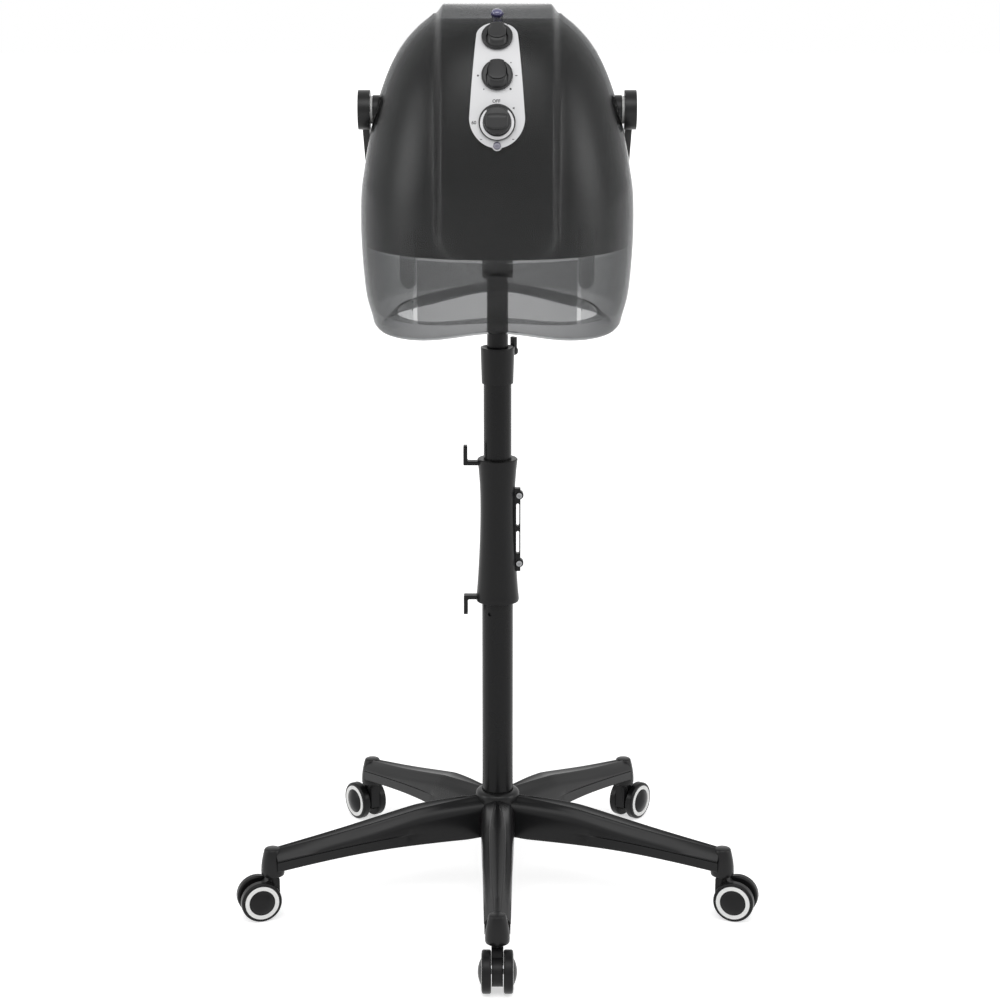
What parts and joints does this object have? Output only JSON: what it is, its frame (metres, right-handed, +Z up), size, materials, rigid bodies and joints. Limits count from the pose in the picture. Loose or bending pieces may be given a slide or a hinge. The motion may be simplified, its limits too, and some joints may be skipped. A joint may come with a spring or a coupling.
{
  "type": "hood hair dryer",
  "caption": "Hood hair dryer on a rolling star base with a telescoping mast, a tilting smoked clear hood in a fork-shaped yoke, control knobs and a perforated air diffuser inside.",
  "frame": {"origin": "on the floor, on the mast's axis", "axes": "+Z up along the mast, -Y towards the side with the controls and the client, +X to the right of someone who faces the controls"},
  "size_m": [0.6432, 0.6472, 1.1035],
  "materials": {
    "base_plastic": "fine satin moulding",
    "tube_paint": "satin black enamel",
    "sleeve_plastic": "fine grained moulding",
    "clamp_metal": "satin black enamel",
    "yoke_paint": "satin black enamel",
    "pivot_plastic": "satin moulding",
    "bright_steel": "zinc plated",
    "washer_plastic": "natural nylon",
    "smoked_clear": "smoked clear moulding, polished",
    "liner_plastic": "satin moulding",
    "plate_silver": "silver film under a clear coat",
    "knob_plastic": "satin moulding",
    "lamp_lens": "clear tinted lens",
    "switch_plastic": "plain moulding",
    "motor_metal": "zinc plated",
    "fan_plastic": "plain moulding",
    "heater_board": "mica board",
    "heater_alloy": "oxidised resistance wire",
    "grille_plastic": "satin moulding",
    "gland_rubber": "soft moulding",
    "caster_plastic": "satin moulding",
    "wheel_plastic": "satin moulding",
    "ring_white": "plain moulding"
  },
  "bodies": {
    "stand": {"star_base": "base_plastic", "lower_tube": "tube_paint", "mast_sleeve": "sleeve_plastic", "clamp_bar": "clamp_metal", "sleeve_screws": "bright_steel", "cord_hooks": "sleeve_plastic"},
    "mid_mast": {"mid_tube": "tube_paint", "mid_glide": "sleeve_plastic", "clamp_collar": "sleeve_plastic"},
    "clamp_lever": {"collar_lever": "sleeve_plastic"},
    "upper_mast": {"upper_tube": "tube_paint", "upper_glide": "sleeve_plastic"},
    "yoke_arm": {"yoke": "yoke_paint", "pivot_caps": "pivot_plastic"},
    "hood": {"pivot_bolts": "bright_steel", "pivot_washers": "washer_plastic", "pivot_bosses": "pivot_plastic", "hood_frame": "bright_steel", "bonnet_shell": "smoked_clear", "hood_liner": "liner_plastic", "inner_skirt": "smoked_clear", "face_shield": "smoked_clear", "skirt_clips": "smoked_clear", "plenum_ring": "liner_plastic", "diffuser": "liner_plastic", "control_plate": "plate_silver", "indicator_lamps": "lamp_lens", "rotary_switches": "switch_plastic", "timer_unit": "switch_plastic", "fan_motor": "motor_metal", "heater_frame": "heater_board", "heater_wire": "heater_alloy", "thermostat": "switch_plastic", "intake_grille": "grille_plastic", "cable_gland": "gland_rubber"},
    "temperature_dial": {"temperature_knob": "knob_plastic"},
    "speed_dial": {"speed_knob": "knob_plastic"},
    "timer_dial": {"timer_knob": "knob_plastic"},
    "fan": {"fan_wheel": "fan_plastic"},
    "caster_1": {"caster_fork_1": "caster_plastic", "caster_pins_1": "bright_steel"},
    "wheels_1": {"caster_wheels_1": "wheel_plastic", "caster_rings_1": "ring_white"},
    "caster_2": {"caster_fork_2": "caster_plastic", "caster_pins_2": "bright_steel"},
    "wheels_2": {"caster_wheels_2": "wheel_plastic", "caster_rings_2": "ring_white"},
    "caster_3": {"caster_fork_3": "caster_plastic", "caster_pins_3": "bright_steel"},
    "wheels_3": {"caster_wheels_3": "wheel_plastic", "caster_rings_3": "ring_white"},
    "caster_4": {"caster_fork_4": "caster_plastic", "caster_pins_4": "bright_steel"},
    "wheels_4": {"caster_wheels_4": "wheel_plastic", "caster_rings_4": "ring_white"},
    "caster_5": {"caster_fork_5": "caster_plastic", "caster_pins_5": "bright_steel"},
    "wheels_5": {"caster_wheels_5": "wheel_plastic", "caster_rings_5": "ring_white"}
  },
  "joints": [
    {"name": "mid_slide", "type": "slide", "parent": "stand", "child": "mid_mast", "axis": [0, 0, 1], "range_m": [-0.08, 0.15]},
    {"name": "lever_turn", "type": "hinge", "parent": "mid_mast", "child": "clamp_lever", "pos_m": [0.0177, 0.0177, 0.686], "axis": [0.7071, 0.7071, 0], "range_deg": [-90, 90]},
    {"name": "upper_slide", "type": "slide", "parent": "mid_mast", "child": "upper_mast", "axis": [0, 0, 1], "range_m": [-0.06, 0.2]},
    {"name": "hood_swivel", "type": "hinge", "parent": "upper_mast", "child": "yoke_arm", "pos_m": [0, 0, 0.8], "axis": [0, 0, 1], "range_deg": [-170, 170]},
    {"name": "hood_tilt", "type": "hinge", "parent": "yoke_arm", "child": "hood", "pos_m": [0, -0.195, 0.99], "axis": [-1, 0, 0], "range_deg": [0, 60]},
    {"name": "temperature_turn", "type": "hinge", "parent": "hood", "child": "temperature_dial", "pos_m": [0, -0.3071, 1.0715], "axis": [0, -0.76, 0.6499], "range_deg": [-135, 135]},
    {"name": "speed_turn", "type": "hinge", "parent": "hood", "child": "speed_dial", "pos_m": [0, -0.33084, 1.03413], "axis": [0, -0.9107, 0.413], "range_deg": [-60, 60]},
    {"name": "timer_turn", "type": "hinge", "parent": "hood", "child": "timer_dial", "pos_m": [0, -0.34711, 0.98773], "axis": [0, -0.962, 0.273], "range_deg": [-270, 0]},
    {"name": "fan_spin", "type": "hinge", "parent": "hood", "child": "fan", "pos_m": [0, -0.195, 1.03], "axis": [0, 0, 1], "continuous": true},
    {"name": "caster_1_swivel", "type": "hinge", "parent": "stand", "child": "caster_1", "pos_m": [0, -0.29, 0.07], "axis": [0, 0, 1], "continuous": true},
    {"name": "wheels_1_roll", "type": "hinge", "parent": "caster_1", "child": "wheels_1", "pos_m": [0, -0.308, 0.025], "axis": [1, 0, 0], "continuous": true},
    {"name": "caster_2_swivel", "type": "hinge", "parent": "stand", "child": "caster_2", "pos_m": [0.27581, -0.08962, 0.07], "axis": [0, 0, 1], "continuous": true},
    {"name": "wheels_2_roll", "type": "hinge", "parent": "caster_2", "child": "wheels_2", "pos_m": [0.29292, -0.09518, 0.025], "axis": [0.309, 0.9511, 0], "continuous": true},
    {"name": "caster_3_swivel", "type": "hinge", "parent": "stand", "child": "caster_3", "pos_m": [0.17046, 0.23461, 0.07], "axis": [0, 0, 1], "continuous": true},
    {"name": "wheels_3_roll", "type": "hinge", "parent": "caster_3", "child": "wheels_3", "pos_m": [0.18104, 0.24918, 0.025], "axis": [-0.809, 0.5878, 0], "continuous": true},
    {"name": "caster_4_swivel", "type": "hinge", "parent": "stand", "child": "caster_4", "pos_m": [-0.17046, 0.23461, 0.07], "axis": [0, 0, 1], "continuous": true},
    {"name": "wheels_4_roll", "type": "hinge", "parent": "caster_4", "child": "wheels_4", "pos_m": [-0.18104, 0.24918, 0.025], "axis": [-0.809, -0.5878, 0], "continuous": true},
    {"name": "caster_5_swivel", "type": "hinge", "parent": "stand", "child": "caster_5", "pos_m": [-0.27581, -0.08962, 0.07], "axis": [0, 0, 1], "continuous": true},
    {"name": "wheels_5_roll", "type": "hinge", "parent": "caster_5", "child": "wheels_5", "pos_m": [-0.29292, -0.09518, 0.025], "axis": [0.309, -0.9511, 0], "continuous": true}
  ]
}
